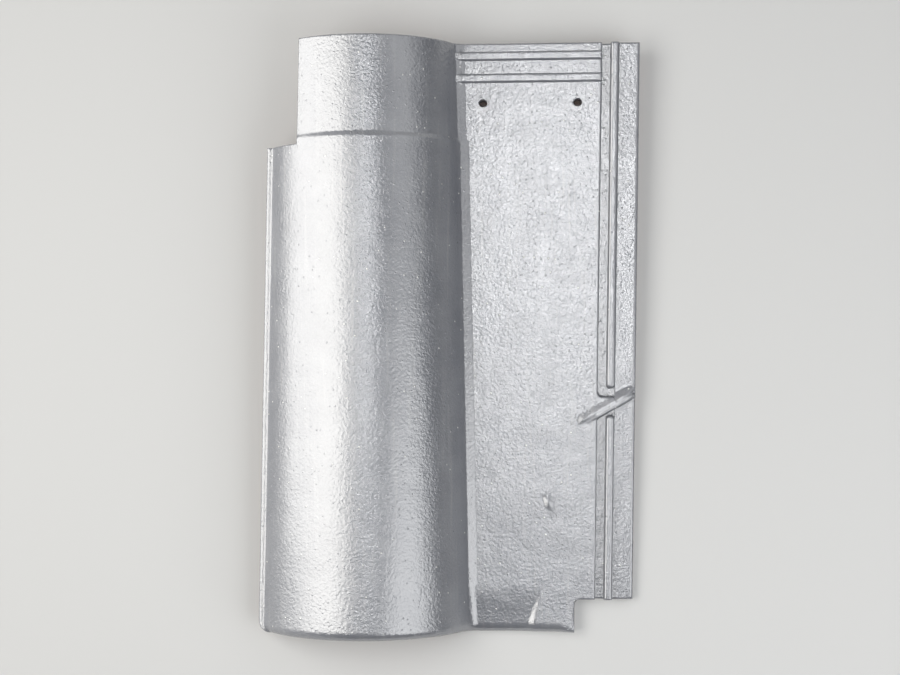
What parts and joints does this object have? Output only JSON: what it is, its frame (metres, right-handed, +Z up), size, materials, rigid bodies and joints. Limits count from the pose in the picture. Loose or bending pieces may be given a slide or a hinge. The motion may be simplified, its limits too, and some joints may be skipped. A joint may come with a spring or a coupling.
{
  "type": "clay roof tile",
  "caption": "Interlocking clay roof tile with a tapered roll and covering lip on the left, a flat pan, a ribbed side lock with a diagonal weir, nail holes and hanging lugs.",
  "frame": {"origin": "centre of the bounding box at floor level, with the tile lying unheld on the nose of its pan and its two hanging lugs", "axes": "+X across the tile from the roll's lip to the side lock, +Y from the nose (lower end on a roof) to the head, +Z up; the pan is pitched 2.1 degrees, head up"},
  "size_m": [0.2918, 0.4518, 0.072],
  "materials": {
    "glazed_clay": "glossy slate-blue glaze over fired clay"
  },
  "bodies": {
    "root": {"roof_tile": "glazed_clay"}
  },
  "joints": []
}
